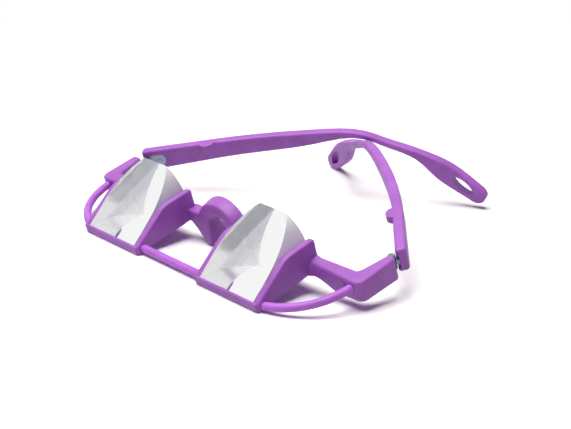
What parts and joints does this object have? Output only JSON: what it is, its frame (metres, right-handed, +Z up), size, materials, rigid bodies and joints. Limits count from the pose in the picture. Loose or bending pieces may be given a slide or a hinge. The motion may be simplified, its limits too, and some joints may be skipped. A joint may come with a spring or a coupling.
{
  "type": "prism belay glasses",
  "caption": "Moulded spectacle front with wedge prisms that turn the view upwards, guard rods, a nose saddle and folding hooked temples.",
  "frame": {"origin": "on the table, on the middle plane between the prisms, at the middle of the standing glasses' depth", "axes": "+X from the wearer's left temple to the right one, +Y from the prisms' front edge back along the temples, +Z up from the table"},
  "size_m": [0.1451, 0.133, 0.0285],
  "materials": {
    "violet_plastic": "satin moulded plastic",
    "optical_glass": "polished clear glass",
    "mirror_coating": "silvered face under paint",
    "hinge_metal": "bright stamped metal",
    "rivet_metal": "turned metal"
  },
  "bodies": {
    "front": {"front_frame": "violet_plastic", "prism_left": "optical_glass", "prism_right": "optical_glass", "mirror_layer_left": "mirror_coating", "mirror_layer_right": "mirror_coating", "guard_rod_left": "violet_plastic", "guard_rod_right": "violet_plastic", "lower_bar": "violet_plastic", "front_hinge_left": "hinge_metal", "front_hinge_right": "hinge_metal", "hinge_screw_left": "rivet_metal", "hinge_screw_right": "rivet_metal", "front_rivets_left": "rivet_metal", "front_rivets_right": "rivet_metal"},
    "left_temple": {"temple_hinge_left": "hinge_metal", "temple_rivets_left": "rivet_metal", "temple_left": "violet_plastic"},
    "right_temple": {"temple_hinge_right": "hinge_metal", "temple_rivets_right": "rivet_metal", "temple_right": "violet_plastic"}
  },
  "joints": [
    {"name": "left_fold", "type": "hinge", "parent": "front", "child": "left_temple", "pos_m": [-0.0683, -0.0228, 0.01217], "axis": [0, 0.284, -0.9588], "range_deg": [-49, 49]},
    {"name": "right_fold", "type": "hinge", "parent": "front", "child": "right_temple", "pos_m": [0.0683, -0.0228, 0.01217], "axis": [0, -0.284, 0.9588], "range_deg": [-53.5, 28.5]}
  ]
}
